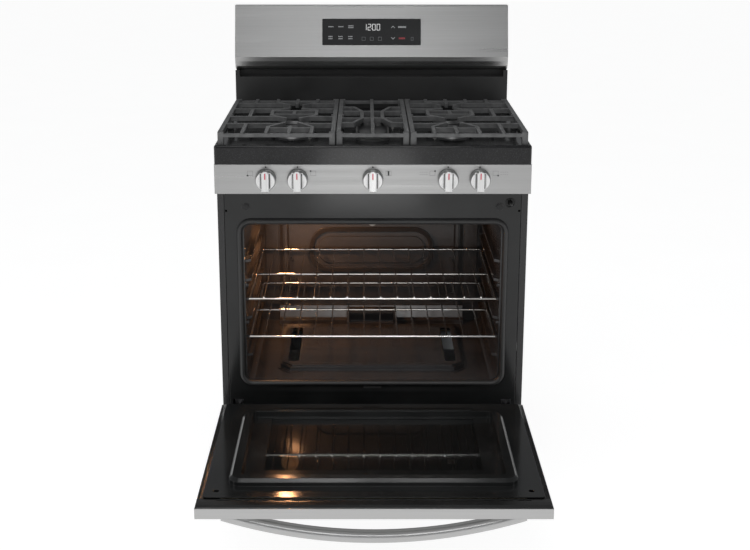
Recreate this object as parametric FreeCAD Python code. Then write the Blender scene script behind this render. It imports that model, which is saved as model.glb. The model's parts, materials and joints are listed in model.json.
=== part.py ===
import FreeCAD, Part
import math
import os

Vec = FreeCAD.Vector
X_AXIS = Vec(1, 0, 0)
Z_AXIS = Vec(0, 0, 1)

# Frame: X to the right, Y to the back, Z up, in millimetres. The origin is on the floor, centred
# on the cabinet's width, half way between its control panel and its back cover.

# ---- Driving dimensions -------------------------------------------------------------------
WIDTH = 759.0                 # widest point, across the cooktop and the control panel
DEPTH = 638.0                 # control panel face to back cover
TOP_Z = 1188.0                # top of the backguard
COOKTOP_Z = 914.0             # top of the cooktop's lip
SHEET = 1.2                   # steel sheet
FIT = 0.06                    # radial clearance of a running fit
GAP = 0.4                     # clearance between loose neighbours

HALF_W = WIDTH / 2
FRONT_Y = -DEPTH / 2
BACK_Y = DEPTH / 2
INNER_BACK_Y = BACK_Y - SHEET - GAP   # where the sheets inside the back covers end

# Cabinet
SIDE_X = HALF_W - 0.5         # outer face of a side panel
FRAME_Y = -275.0              # oven front frame, its face
BASE_Z = 32.0                 # underside of the base pan
PANEL_BOTTOM_Z = 796.0
PANEL_TOP_Z = 868.0

# Oven cavity
CAVITY_X = 316.0
CAVITY_BOTTOM_Z = 298.0
CAVITY_TOP_Z = 712.0
CAVITY_BACK_Y = 205.0
OPENING_X = 318.0             # opening in the front frame
OPENING_BOTTOM_Z = 302.0
OPENING_TOP_Z = 710.0
INSULATION = 25.0
RACK_HEIGHTS = (413.5, 513.0)
GUIDE_PITCH = (RACK_HEIGHTS[1] - RACK_HEIGHTS[0]) / 2
GUIDE_HEIGHTS = [RACK_HEIGHTS[0] + GUIDE_PITCH * n for n in range(-1, 5)]

# Cooktop
SURFACE_Z = 905.0
GRATE_TOP_Z = 943.0
GRATE_FRONT_Y = -304.0
GRATE_BACK_Y = 188.0
GRATE_SIDE_X = 371.0
GRATE_SPLIT_X = 88.5
BURNER_X = 201.0
BURNER_FRONT_Y = -135.0
BURNER_BACK_Y = 69.0
OVAL_CENTRE_Y = -64.0

# Knobs
KNOB_XS = (-256.0, -180.0, 0.0, 180.0, 256.0)
KNOB_Z = 832.0
KNOB_PUSH = 4.0

# Backguard
RISER_Y = 254.0
RISER_TOP_Z = 995.0
LIP_Y, LIP_Z = 268.0, 1014.0  # lower rear edge of the stainless panel
NOSE_Y, NOSE_Z = 251.0, 1050.0
CREST_Y = 291.0
FACE_ANGLE = math.degrees(math.atan2(CREST_Y - NOSE_Y, TOP_Z - NOSE_Z))

# Door: it is built open, lying level. "u" runs from the hinge axis to the door's far end.
HINGE_Y = -310.5
HINGE_Z = 231.5
DOOR_X = 378.5
DOOR_START_U = -6.5
DOOR_END_U = 558.5
DOOR_FACE_Z = 223.0
DOOR_SIDE_Z = 246.4           # top of the skin's folded edges
DOOR_LINER_Z = 254.0          # the liner's main surface
RIDGE_Z = 270.0
RIDGE_X = 316.0
RIDGE_START_U = 81.0
RIDGE_END_U = 468.0
WINDOW_X = 244.0
WINDOW_START_U = 90.0
WINDOW_END_U = 386.0
HINGE_ARM_X = 340.0

# Drawer
DRAWER_TOP_Z = 216.0
DRAWER_BOTTOM_Z = 38.0


# ---- Shape helpers ------------------------------------------------------------------------
def box(x0, x1, y0, y1, z0, z1):
    """A box between two corners."""
    return Part.makeBox(x1 - x0, y1 - y0, z1 - z0, Vec(x0, y0, z0))


def rod(radius, start, end):
    """A round bar from one point to another."""
    a = Vec(*start)
    b = Vec(*end)
    return Part.makeCylinder(radius, (b - a).Length, a, b - a)


def tube(outer, inner, start, end):
    """A round tube from one point to another."""
    return rod(outer, start, end).cut(rod(inner, start, end))


def fuse(shapes):
    """One solid of several that meet."""
    first = shapes[0]
    return first.multiFuse(shapes[1:]).removeSplitter() if len(shapes) > 1 else first


def group(shapes):
    """Separate solids kept together in one node."""
    return Part.makeCompound(shapes)


def mirror_x(shape):
    """The same shape on the other side of the middle plane."""
    return shape.mirror(Vec(0, 0, 0), X_AXIS)


def both_sides(shape):
    """A shape and its mirror image."""
    return [shape, mirror_x(shape)]


def rounded_outline(a0, a1, b0, b1, radius):
    """A rectangle with round corners, in the XY plane."""
    r = radius
    corners = [
        (a1 - r, b0 + r, -90),
        (a1 - r, b1 - r, 0),
        (a0 + r, b1 - r, 90),
        (a0 + r, b0 + r, 180),
    ]
    arcs = []
    for ca, cb, turn in corners:
        points = []
        for angle in (turn, turn + 45, turn + 90):
            rad = math.radians(angle)
            points.append(Vec(ca + r * math.cos(rad), cb + r * math.sin(rad), 0))
        arcs.append(Part.Arc(*points).toShape())
    edges = []
    for n, arc in enumerate(arcs):
        edges.append(arc)
        tail = arc.Vertexes[-1].Point
        head = arcs[(n + 1) % 4].Vertexes[0].Point
        if (head - tail).Length > 1e-6:
            edges.append(Part.LineSegment(tail, head).toShape())
    return Part.Wire(edges)


def pad_z(x0, x1, y0, y1, radius, z0, z1):
    """A plate with round corners seen from above."""
    face = Part.Face(rounded_outline(x0, x1, y0, y1, radius))
    face.translate(Vec(0, 0, z0))
    return face.extrude(Vec(0, 0, z1 - z0))


def pad_y(x0, x1, z0, z1, radius, y0, y1):
    """A plate with round corners seen from the front."""
    face = Part.Face(rounded_outline(x0, x1, z0, z1, radius))
    face.rotate(Vec(0, 0, 0), X_AXIS, 90)
    face.translate(Vec(0, y1, 0))
    return face.extrude(Vec(0, y0 - y1, 0))


def profile_x(points, x0, x1):
    """A closed outline of (y, z) points carried along X."""
    loop = [Vec(x0, y, z) for y, z in points]
    face = Part.Face(Part.makePolygon(loop + loop[:1]))
    return face.extrude(Vec(x1 - x0, 0, 0))


def profile_z(points, z0, z1):
    """A closed outline of (x, y) points raised along Z."""
    loop = [Vec(x, y, z0) for x, y in points]
    face = Part.Face(Part.makePolygon(loop + loop[:1]))
    return face.extrude(Vec(0, 0, z1 - z0))


def plan_bar(start, end, width, z0, z1):
    """A bar with round ends, laid level between two (x, y) points."""
    dx = end[0] - start[0]
    dy = end[1] - start[1]
    length = math.hypot(dx, dy)
    bar = Part.makeBox(length, width, z1 - z0, Vec(0, -width / 2, z0))
    bar.rotate(Vec(0, 0, 0), Z_AXIS, math.degrees(math.atan2(dy, dx)))
    bar.translate(Vec(start[0], start[1], 0))
    ends = [rod(width / 2, (x, y, z0), (x, y, z1)) for x, y in (start, end)]
    return fuse([bar] + ends)


def edges_where(shape, test):
    """The edges whose middle passes a test."""
    picked = []
    for edge in shape.Edges:
        middle = edge.valueAt((edge.FirstParameter + edge.LastParameter) / 2)
        if test(middle, edge):
            picked.append(edge)
    return picked


def save(node, shape):
    """Write one node."""
    shape.exportStep("parts/" + node + ".step")


def door_y(u):
    """Where a distance from the hinge axis lies along Y while the door is open."""
    return HINGE_Y - u


# ---- Cabinet ------------------------------------------------------------------------------
def side_panel():
    """The right side panel, folded inward along its four edges."""
    fold = 16.0
    outer = box(SIDE_X - fold, SIDE_X, FRAME_Y, INNER_BACK_Y, BASE_Z, PANEL_TOP_Z - GAP)
    inner = box(
        SIDE_X - fold - 1,
        SIDE_X - SHEET,
        FRAME_Y + SHEET,
        INNER_BACK_Y - SHEET,
        BASE_Z + SHEET,
        PANEL_TOP_Z - GAP - SHEET,
    )
    door_cut = box(SIDE_X - fold - 1, SIDE_X - 4, FRAME_Y - 1, FRAME_Y + 30, 0, DRAWER_TOP_Z + 4)
    return outer.cut(inner).cut(door_cut)


INLET_X = 311.0               # gas inlet
INLET_Z = 140.0
INLET_ROOM = 50.0             # free space left for the gas line, to each side of the inlet


def back_covers():
    """Flat rear covers: one wide sheet beside the gas line, one above it and the backguard's."""
    y0 = BACK_Y - SHEET
    x = SIDE_X - 2
    low, high = BASE_Z + 2, SURFACE_Z - 45
    split = INLET_X - INLET_ROOM
    wide = box(-x, split, y0, BACK_Y, low, high)
    louvres = []
    for n in range(8):
        z = 700 + n * 14.0
        louvres.append(pad_y(-150, 150, z, z + 5, 2.4, y0 - 1, BACK_Y + 1))
    wide = wide.cut(group(louvres))
    narrow = box(split + GAP, x, y0, BACK_Y, INLET_Z + INLET_ROOM, high)
    upper = box(-x, x, y0, BACK_Y, SURFACE_Z + 2, TOP_Z - SHEET - GAP)
    return group([wide, narrow, upper])


LEG_PLACES = [(x, y) for x in (-330.0, 330.0) for y in (-235.0, 270.0)]


def base_pan():
    """The floor of the cabinet, with its edges folded up."""
    x = SIDE_X - 2
    outer = box(-x, x, FRAME_Y + 4, BACK_Y - 6, BASE_Z + SHEET + GAP, BASE_Z + 22)
    inner = box(-x + SHEET, x - SHEET, FRAME_Y, BACK_Y - 6 - SHEET, BASE_Z + 3, BASE_Z + 23)
    holes = [rod(5.6, (lx, ly, BASE_Z - 5), (lx, ly, BASE_Z + 10)) for lx, ly in LEG_PLACES]
    return outer.cut(inner).cut(group(holes))


def levelling_legs():
    """Four screw-in legs: a foot pad, a stud and a nut above the base pan."""
    legs = []
    for x, y in LEG_PLACES:
        pad = Part.makeCone(21, 15, 9, Vec(x, y, 0))
        hexagon = Part.makePolygon(
            [
                Vec(x + 12 * math.cos(a), y + 12 * math.sin(a), 9)
                for a in [math.radians(60 * n) for n in range(7)]
            ]
        )
        grip = Part.Face(hexagon).extrude(Vec(0, 0, BASE_Z + SHEET - 9))
        stud = rod(5, (x, y, 9), (x, y, BASE_Z + 14))
        legs.append(fuse([pad, grip, stud]))
    return group(legs)


def front_frame():
    """The enamelled frame round the oven opening, with folded sides."""
    x = SIDE_X - 17.0
    top = PANEL_BOTTOM_Z - 2
    face = box(-x, x, FRAME_Y, FRAME_Y + SHEET, DRAWER_TOP_Z + 6, top)
    folds = [box(x - SHEET, x, FRAME_Y, FRAME_Y + 14, DRAWER_TOP_Z + 6, top)]
    folds.append(mirror_x(folds[0]))
    folds.append(box(-x, x, FRAME_Y, FRAME_Y + 14, top - SHEET, top))
    ring = tube(12, 9.5, (336, FRAME_Y - 2.5, 763), (336, FRAME_Y + 1, 763))
    frame = fuse([face] + folds + [ring])
    cuts = [
        pad_y(
            -OPENING_X,
            OPENING_X,
            OPENING_BOTTOM_Z,
            OPENING_TOP_Z,
            24,
            FRAME_Y - 5,
            FRAME_Y + 5,
        ),
        rod(6, (336, FRAME_Y - 5, 763), (336, FRAME_Y + 5, 763)),
    ]
    for sign in (-1, 1):
        cuts.append(rod(2.6, (sign * 358, FRAME_Y - 5, 743), (sign * 358, FRAME_Y + 5, 743)))
        cuts.append(rod(2.3, (sign * 310, FRAME_Y - 5, 753), (sign * 310, FRAME_Y + 5, 753)))
        low, high = sorted((sign * (HINGE_ARM_X - 13), sign * (HINGE_ARM_X + 13)))
        cuts.append(box(low, high, FRAME_Y - 5, FRAME_Y + 5, DRAWER_TOP_Z, 250))
    return frame.cut(group(cuts))


def frame_screws():
    """Pan-head screws: two on the front frame, the rest on the lower back cover."""
    screws = []
    for x in (-310, 310):
        shank = rod(2.0, (x, FRAME_Y - 1, 753), (x, FRAME_Y + 9, 753))
        head = rod(7.5, (x, FRAME_Y - 3, 753), (x, FRAME_Y, 753))
        slot = box(x - 5, x + 5, FRAME_Y - 4, FRAME_Y - 1.8, 752.2, 753.8)
        cross = box(x - 0.8, x + 0.8, FRAME_Y - 4, FRAME_Y - 1.8, 748, 758)
        screws.append(fuse([shank, head]).cut(slot).cut(cross))
    return group(screws)


def frame_gasket():
    """The woven seal round the oven opening, which the closed door presses on."""
    outer = pad_y(-334, 334, 288, 724, 34, FRAME_Y - 12.4, FRAME_Y)
    inner = pad_y(-319, 319, 301, 711, 22, FRAME_Y - 13, FRAME_Y + 1)
    band = outer.cut(inner)
    clip = box(-20, 20, FRAME_Y - 8, FRAME_Y, 282.5, 287.6)
    return group([band, clip])


BACK_RIBS = ((263.0, 300.0), (238.0, 248.0))   # across, upright ribs on the back wall
RIB_LOW_Z, RIB_HIGH_Z = 348.0, 612.0
COVE_X = 262.0                # half width of the ledge at the foot of the back wall
COVE_TOP_Z = 345.0
COVE_EDGE_Z = 313.0
PORT_X = 62.0                 # half width of the air port in the ledge
PORT_DEPTH = 50.0


def oven_liner():
    """The enamelled oven box: coved corners, rack guides, an embossed back and a rear air port."""
    wall = 1.5
    front = FRAME_Y + SHEET
    room = pad_y(
        -CAVITY_X, CAVITY_X, CAVITY_BOTTOM_Z, CAVITY_TOP_Z, 18, front - 2, CAVITY_BACK_Y
    )
    skin = pad_y(
        -CAVITY_X - wall,
        CAVITY_X + wall,
        CAVITY_BOTTOM_Z - wall,
        CAVITY_TOP_Z + wall,
        18 + wall,
        front,
        CAVITY_BACK_Y + wall,
    )
    flange = pad_y(
        -CAVITY_X - 14,
        CAVITY_X + 14,
        CAVITY_BOTTOM_Z - 14,
        CAVITY_TOP_Z + 12,
        30,
        front,
        front + wall,
    )
    shell = fuse([skin, flange]).cut(room)
    floor_hole = box(-225, 225, -190, 120, CAVITY_BOTTOM_Z - 5, CAVITY_BOTTOM_Z + 5)
    shell = shell.cut(floor_hole)
    extras = []
    for z in GUIDE_HEIGHTS:
        top = z - 3.2
        ledge = profile_z(
            [
                (CAVITY_X + 0.5, -245),
                (CAVITY_X + 0.5, 185),
                (CAVITY_X - 12, 178),
                (CAVITY_X - 12, -236),
            ],
            top - 7,
            top,
        )
        extras += both_sides(ledge)
    for x0, x1 in BACK_RIBS:
        rib = box(x0, x1, CAVITY_BACK_Y - 5, CAVITY_BACK_Y + 0.5, RIB_LOW_Z, RIB_HIGH_Z)
        extras += both_sides(rib)
    ring_outer = pad_y(-176, 176, 444, 574, 56, CAVITY_BACK_Y - 6, CAVITY_BACK_Y + 0.5)
    ring_inner = pad_y(-164, 164, 456, 562, 46, CAVITY_BACK_Y - 7, CAVITY_BACK_Y + 1)
    extras.append(ring_outer.cut(ring_inner))
    bulge = pad_y(-150, 150, 470, 548, 34, CAVITY_BACK_Y - 3, CAVITY_BACK_Y + 0.5)
    extras.append(bulge)
    cove = profile_x(
        [
            (CAVITY_BACK_Y - 38, CAVITY_BOTTOM_Z - 0.5),
            (CAVITY_BACK_Y + 0.5, CAVITY_BOTTOM_Z - 0.5),
            (CAVITY_BACK_Y + 0.5, COVE_TOP_Z),
            (CAVITY_BACK_Y - 10, COVE_TOP_Z),
            (CAVITY_BACK_Y - 23, COVE_EDGE_Z),
            (CAVITY_BACK_Y - 36, COVE_EDGE_Z - 3),
        ],
        -COVE_X,
        COVE_X,
    )
    port_y = CAVITY_BACK_Y - PORT_DEPTH
    port = box(-PORT_X - 8, PORT_X + 8, port_y, CAVITY_BACK_Y, CAVITY_BOTTOM_Z + 2, COVE_TOP_Z - 4)
    mouth = box(-PORT_X, PORT_X, port_y - 8, port_y + 14, CAVITY_BOTTOM_Z + 8, COVE_TOP_Z - 11)
    extras.append(cove.fuse(port).cut(mouth))
    louvres = []
    for n in range(-5, 6):
        x = n * 34.0
        louvres.append(box(x - 12, x + 12, CAVITY_BACK_Y - 3, CAVITY_BACK_Y + 0.5, 396, 400))
    extras += louvres
    for sign in (-1, 1):
        for turn in range(4):
            radius = 26 - 6 * turn
            hoop = tube(
                radius,
                radius - 2.2,
                (sign * 230, CAVITY_BACK_Y - 3, 405),
                (sign * 230, CAVITY_BACK_Y + 0.5, 405),
            )
            extras.append(hoop)
    for x, z in ((-271, 545), (271, 545), (-227, 481), (227, 481)):
        extras.append(rod(5, (x, CAVITY_BACK_Y - 3.5, z), (x, CAVITY_BACK_Y + 0.5, z)))
    for z in (446, 544):
        for sign in (-1, 1):
            extras.append(rod(5, (sign * 311, -248, z), (sign * 316.5, -248, z)))
    return fuse([shell] + extras)


def oven_insulation():
    """The mineral-wool jacket on the sides, top and back of the oven liner."""
    x = CAVITY_X + 1.5 + GAP
    top = CAVITY_TOP_Z + 1.5 + GAP
    back = CAVITY_BACK_Y + 1.5 + GAP
    front = FRAME_Y + 16
    jacket = box(
        -x - INSULATION, x + INSULATION, front, back + INSULATION, 262, top + INSULATION
    )
    return jacket.cut(box(-x, x, front - 1, back, 261, top))


def oven_floor_plate():
    """The raised floor plate over the bake burner, with a heat slot along each side."""
    x = 245.0
    y0, y1 = -207.0, 140.0
    cut = 26.0
    z0 = CAVITY_BOTTOM_Z + GAP
    z1 = 312.0

    def outline(inset):
        return [
            (-x + cut + inset, y0 + inset),
            (x - cut - inset, y0 + inset),
            (x - inset, y0 + cut + inset),
            (x - inset, y1 - inset),
            (-x + inset, y1 - inset),
            (-x + inset, y0 + cut + inset),
        ]

    flange = profile_z(outline(0), z0, z0 + SHEET)
    riser = profile_z(outline(7), z0, z1 - 4)
    crown = profile_z(outline(12), z1 - 5, z1)
    hollow = profile_z(outline(7 + SHEET), z0 - 1, z1 - 4 - SHEET)
    hollow_crown = profile_z(outline(12 + SHEET), z0, z1 - SHEET)
    plate = fuse([flange, riser, crown]).cut(hollow).cut(hollow_crown)
    slots = []
    for sx in (-205, 205):
        slots.append(pad_z(sx - 14, sx + 14, -166, 98, 8, z1 - 20, z1 + 5))
    dimples = []
    for n in range(-5, 6):
        mid = n * 38.0
        dimples.append(pad_z(mid - 14, mid + 14, -185, -182, 1.4, z1 - 20, z1 + 5))
    return plate.cut(group(slots + dimples))


def bake_burner():
    """The tube burner under the floor plate, its ports to the sides and its inlet at the back."""
    z = 276.0
    barrel = tube(16, 14.5, (0, -170, z), (0, 200, z))
    nose = rod(16, (0, -172, z), (0, -170, z))
    wings = []
    wings += both_sides(box(14, 30, -150, 90, z - 2, z + 2))
    ports = [rod(1.4, (-40, -140 + 15 * n, z + 8), (40, -140 + 15 * n, z + 8)) for n in range(15)]
    return fuse([barrel, nose] + wings).cut(group(ports))


def broil_burner():
    """The roof burner: a long tube with side ports and its hangers."""
    z = 690.0
    barrel = tube(10, 8.8, (0, -180, z), (0, 190, z))
    nose = rod(10, (0, -182, z), (0, -180, z))
    arms = []
    for y in (-120, 0, 120):
        arms.append(tube(7, 6, (-150, y, z), (150, y, z)))
    plates = [box(-24, 24, y - 6, y + 6, z + 9.5, CAVITY_TOP_Z - GAP) for y in (-150, 160)]
    body = fuse([barrel, nose] + arms + plates)
    bores = [rod(8.8, (0, -179, z), (0, 191, z))]
    bores += [rod(6, (-148, y, z), (148, y, z)) for y in (-120, 0, 120)]
    return body.cut(group(bores))


def oven_lamp():
    """The oven lamp at the back wall: a glass dome on its collar."""
    x, z = -241.0, 652.0
    y = CAVITY_BACK_Y - GAP
    collar = tube(26, 21, (x, y - 6, z), (x, y, z))
    dome = rod(20.6, (x, y - 18, z), (x, y, z))
    rim = edges_where(dome, lambda p, e: abs(p.y - (y - 18)) < 0.01)
    return group([collar, dome.makeFillet(9, rim)])


def temperature_probe():
    """The oven sensor: a thin rod from its plate on the back wall."""
    x, z = 241.0, 652.0
    y = CAVITY_BACK_Y - GAP
    plate = pad_y(x - 14, x + 14, z - 7, z + 7, 3, y - 1.5, y)
    return fuse([plate, rod(2.6, (x, y - 110, z), (x, y - 1, z))])


# ---- Controls and gas -----------------------------------------------------------------------
def control_panel():
    """The stainless panel that carries the knobs, folded back at its ends, top and bottom."""
    top = PANEL_TOP_Z - GAP
    outer = box(-HALF_W, HALF_W, FRONT_Y, FRAME_Y - GAP, PANEL_BOTTOM_Z, top)
    inner = box(
        -HALF_W + SHEET,
        HALF_W - SHEET,
        FRONT_Y + SHEET,
        FRAME_Y + 1,
        PANEL_BOTTOM_Z + SHEET,
        top - SHEET,
    )
    holes = [rod(6.5, (x, FRONT_Y - 5, KNOB_Z), (x, FRONT_Y + 5, KNOB_Z)) for x in KNOB_XS]
    pipe_way = box(-HALF_W + 10, HALF_W - 10, FRAME_Y - 12, FRAME_Y + 1, top - 3, top + 1)
    return outer.cut(inner).cut(group(holes)).cut(pipe_way)


STEM_RADIUS = 4.0
MANIFOLD_Y = -255.0


def valve_stem(x):
    """A gas valve's turning stem with the flat that the knob keys on to."""
    stem = rod(STEM_RADIUS, (x, -342, KNOB_Z), (x, -281, KNOB_Z))
    flat = box(x - 6, x + 6, -343, -317, KNOB_Z + 2.6, KNOB_Z + 6)
    collar = rod(6, (x, -309, KNOB_Z), (x, -304, KNOB_Z))
    return fuse([stem.cut(flat), collar])


def knob(x):
    """A round skirt with a raised vertical grip, side grooves and a pointer slot."""
    skirt = rod(25, (x, -333, KNOB_Z), (x, FRONT_Y - KNOB_PUSH - 1, KNOB_Z))
    crown = Part.makeCone(25, 22.5, 8, Vec(x, -333, KNOB_Z), Vec(0, -1, 0))
    grip = pad_y(x - 8.5, x + 8.5, KNOB_Z - 25, KNOB_Z + 25, 6, -352, -335)
    body = fuse([skirt, crown, grip])
    rim = edges_where(body, lambda p, e: abs(p.y + 352) < 0.01)
    body = body.makeFillet(1.6, rim)
    grooves = []
    for offset in (-12.5, 12.5):
        grooves.append(
            box(x + offset - 1.2, x + offset + 1.2, -350, -338, KNOB_Z - 30, KNOB_Z + 30)
        )
    pointer = box(x - 1.2, x + 1.2, -353, -351.2, KNOB_Z + 6, KNOB_Z + 21)
    bore = rod(STEM_RADIUS + FIT, (x, -347, KNOB_Z), (x, -320, KNOB_Z))
    key = box(x - 6, x + 6, -348, -324, KNOB_Z + 2.6 + 2 * FIT, KNOB_Z + 6)
    return body.cut(group(grooves)).cut(pointer).cut(bore.cut(key))


def gas_manifold():
    """The supply pipe with a valve body behind each knob, the feed to the back and the regulator."""
    z = KNOB_Z
    parts = [rod(8, (-290, MANIFOLD_Y, z), (357, MANIFOLD_Y, z))]
    for x in KNOB_XS:
        body = rod(11, (x, -302, z), (x, MANIFOLD_Y, z))
        outlet = rod(4, (x, -285, z), (x, -285, z + 24))
        parts.append(fuse([body, outlet]))
    corner = (357, MANIFOLD_Y, z)
    rear = (357, 280, z)
    foot = (357, 280, 140)
    parts.append(rod(8, corner, rear))
    parts.append(rod(8, rear, foot))
    for place in (corner, rear, foot):
        parts.append(Part.makeSphere(11, Vec(*place)))
    parts.append(rod(8, foot, (330, 280, 140)))
    parts.append(box(286, 336, 256, 300, 114, 166))
    parts.append(rod(17, (311, 300, 140), (311, 318, 140)))
    supply = fuse(parts)
    bores = [rod(STEM_RADIUS + FIT, (x, -303, z), (x, -278, z)) for x in KNOB_XS]
    bores.append(rod(9.5, (311, 298, 140), (311, 319, 140)))
    return supply.cut(group(bores))


def igniters():
    """A ceramic spark post beside each burner."""
    places = [(sx * (BURNER_X - 44), sy) for sx in (-1, 1) for sy in (BURNER_FRONT_Y, BURNER_BACK_Y)]
    places.append((54.0, OVAL_CENTRE_Y + 60))
    posts = []
    for x, y in places:
        post = rod(3.4, (x, y, SURFACE_Z + GAP), (x, y, SURFACE_Z + 9))
        tip = rod(1.2, (x, y, SURFACE_Z + 9), (x, y, SURFACE_Z + 14))
        collar = rod(5, (x, y, SURFACE_Z + GAP), (x, y, SURFACE_Z + 3))
        posts.append(fuse([post, tip, collar]))
    return group(posts)


# ---- Cooktop --------------------------------------------------------------------------------
ROUND_BURNERS = {
    "front_left": (-BURNER_X, BURNER_FRONT_Y),
    "rear_left": (-BURNER_X, BURNER_BACK_Y),
    "front_right": (BURNER_X, BURNER_FRONT_Y),
    "rear_right": (BURNER_X, BURNER_BACK_Y),
}
DISH_DEPTH = 3.5
OVAL_HALF_W = 42.0
OVAL_HALF_L = 166.0


def oval(half_w, half_l, z0, z1):
    """A long round-ended plate centred on the middle burner."""
    y0 = OVAL_CENTRE_Y - half_l
    y1 = OVAL_CENTRE_Y + half_l
    return pad_z(-half_w, half_w, y0, y1, half_w - 0.01, z0, z1)


def cooktop():
    """The one-piece enamelled top: round front edge, raised lip, burner dishes, open underneath."""
    back = INNER_BACK_Y
    outer = box(-HALF_W, HALF_W, FRONT_Y, back, PANEL_TOP_Z, COOKTOP_Z)
    upright = edges_where(
        outer, lambda p, e: abs(abs(p.x) - HALF_W) < 0.01 and p.y < 0 and abs(p.z - 891) < 3
    )
    outer = outer.makeFillet(9, upright)
    rim = edges_where(outer, lambda p, e: abs(p.z - COOKTOP_Z) < 0.01 and p.y < back - 1)
    outer = outer.makeFillet(6, rim)
    pocket = pad_z(-374, 374, -308, back + 20, 10, SURFACE_Z, COOKTOP_Z + 5)
    shelf = box(-HALF_W - 1, HALF_W + 1, RISER_Y - 1, back + 1, SURFACE_Z, COOKTOP_Z + 1)
    under = pad_z(-376.5, 376.5, -316, back - 3, 8, PANEL_TOP_Z - 1, SURFACE_Z - 2.5)
    keep = []
    cuts = []
    for x, y in ROUND_BURNERS.values():
        keep.append(rod(76, (x, y, SURFACE_Z - 6), (x, y, SURFACE_Z)))
        cuts.append(Part.makeCone(64, 72, DISH_DEPTH, Vec(x, y, SURFACE_Z - DISH_DEPTH)))
        cuts.append(rod(17, (x, y, SURFACE_Z - 10), (x, y, SURFACE_Z)))
    cuts.append(oval(14, 120, SURFACE_Z - 10, SURFACE_Z + 1))
    return outer.cut(pocket).cut(shelf).cut(under.cut(group(keep))).cut(group(cuts))


def burner_head(x, y):
    """An aluminium burner head with flame ports and the throat that drops through the top."""
    base_z = SURFACE_Z - DISH_DEPTH + GAP
    throat = rod(14, (x, y, 872), (x, y, base_z + 1))
    base = Part.makeCone(39, 34, 7, Vec(x, y, base_z))
    crown = rod(30, (x, y, base_z + 7), (x, y, 917))
    head = fuse([throat, base, crown])
    cuts = [rod(9, (x, y, 871), (x, y, 910)), rod(24, (x, y, 909), (x, y, 918))]
    for n in range(24):
        slot = box(-1.3, 1.3, 22, 32, 911, 918)
        slot.rotate(Vec(0, 0, 0), Z_AXIS, n * 15.0)
        slot.translate(Vec(x, y, 0))
        cuts.append(slot)
    return head.cut(group(cuts))


def burner_cap(x, y):
    """The loose enamelled cap, with a ring below that centres it in its head."""
    cap = rod(33, (x, y, 917.4), (x, y, 924))
    rim = edges_where(cap, lambda p, e: abs(p.z - 924) < 0.01)
    ring = tube(22.5, 20, (x, y, 912), (x, y, 918))
    return fuse([cap.makeFillet(3.5, rim), ring])


def burner_head_oval():
    """The long middle burner's aluminium body."""
    base = oval(OVAL_HALF_W, OVAL_HALF_L, SURFACE_Z + GAP, 911)
    crown = oval(33, 157, 911, 917)
    throats = [
        rod(12, (0, OVAL_CENTRE_Y + dy, 872), (0, OVAL_CENTRE_Y + dy, 907)) for dy in (-70, 70)
    ]
    head = fuse([base, crown] + throats)
    cuts = [oval(27, 151, 913, 918)]
    cuts += [
        rod(8, (0, OVAL_CENTRE_Y + dy, 871), (0, OVAL_CENTRE_Y + dy, 914)) for dy in (-70, 70)
    ]
    for n in range(-7, 8):
        y = OVAL_CENTRE_Y + 17.0 * n
        cuts.append(box(-36, 36, y - 1.4, y + 1.4, 913.5, 918))
    for y in (-162.0, 162.0):
        for x in (-12, 0, 12):
            y0 = OVAL_CENTRE_Y + y - 14
            cuts.append(box(x - 1.4, x + 1.4, y0, y0 + 28, 913.5, 918))
    return head.cut(group(cuts))


def burner_cap_oval():
    """The long middle burner's loose cap."""
    cap = oval(36, 160, 917.4, 924)
    rim = edges_where(cap, lambda p, e: abs(p.z - 924) < 0.01)
    ring = oval(25, 149, 914.5, 918).cut(oval(22, 146, 913, 917.4))
    return fuse([cap.makeFillet(3, rim), ring])


BAR = 9.0                     # width of a finger
RAIL = 11.0                   # width of a frame rail
FOOT = 15.0                   # side of a square foot
END_RAIL_DROP = 4.0           # how far the front and rear rails lie below the fingers
BAR_BOTTOM_Z = GRATE_TOP_Z - 12.0


def grate_bars(segments, width=BAR):
    """Cast bars between pairs of (x, y) points."""
    return [plan_bar(a, b, width, BAR_BOTTOM_Z, GRATE_TOP_Z) for a, b in segments]


def grate_frame(x0, x1):
    """The four rails of a grate, the end ones set lower, and its feet down to the cooktop."""
    y0, y1 = GRATE_FRONT_Y, GRATE_BACK_Y
    outer = pad_z(x0, x1, y0, y1, 5, BAR_BOTTOM_Z, GRATE_TOP_Z)
    inner = box(x0 + RAIL, x1 - RAIL, y0 + RAIL, y1 - RAIL, BAR_BOTTOM_Z - 1, GRATE_TOP_Z + 1)
    rails = outer.cut(inner)
    for y in (y0, y1 - RAIL):
        low_z = GRATE_TOP_Z - END_RAIL_DROP
        rails = rails.cut(box(x0 + FOOT, x1 - FOOT, y - 1, y + RAIL + 1, low_z, GRATE_TOP_Z + 1))
    feet = []
    for fx in (x0, x1 - FOOT):
        for fy in (y0, (y0 + y1 - FOOT) / 2, y1 - FOOT):
            feet.append(
                pad_z(fx, fx + FOOT, fy, fy + FOOT, 3, SURFACE_Z + GAP, GRATE_TOP_Z - 0.5)
            )
    return [rails] + feet


def chain(centre, side, knots):
    """One side of the zigzag round the burners: (half width, y) knots mirrored about a centre."""
    points = [(centre + side * half, y) for half, y in knots]
    return list(zip(points[:-1], points[1:]))


FRONT_KNOTS = [(54, GRATE_FRONT_Y + 5), (54, -224), (19, -168)]
MIDDLE_KNOTS = [(19, -103), (57, -62), (57, 15), (19, 40)]
REAR_KNOTS = [(19, 98), (54, 140), (54, GRATE_BACK_Y - 5)]
CENTRE_KNOTS = [(48, -170), (26, -105), (26, -5), (48, 60)]


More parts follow.
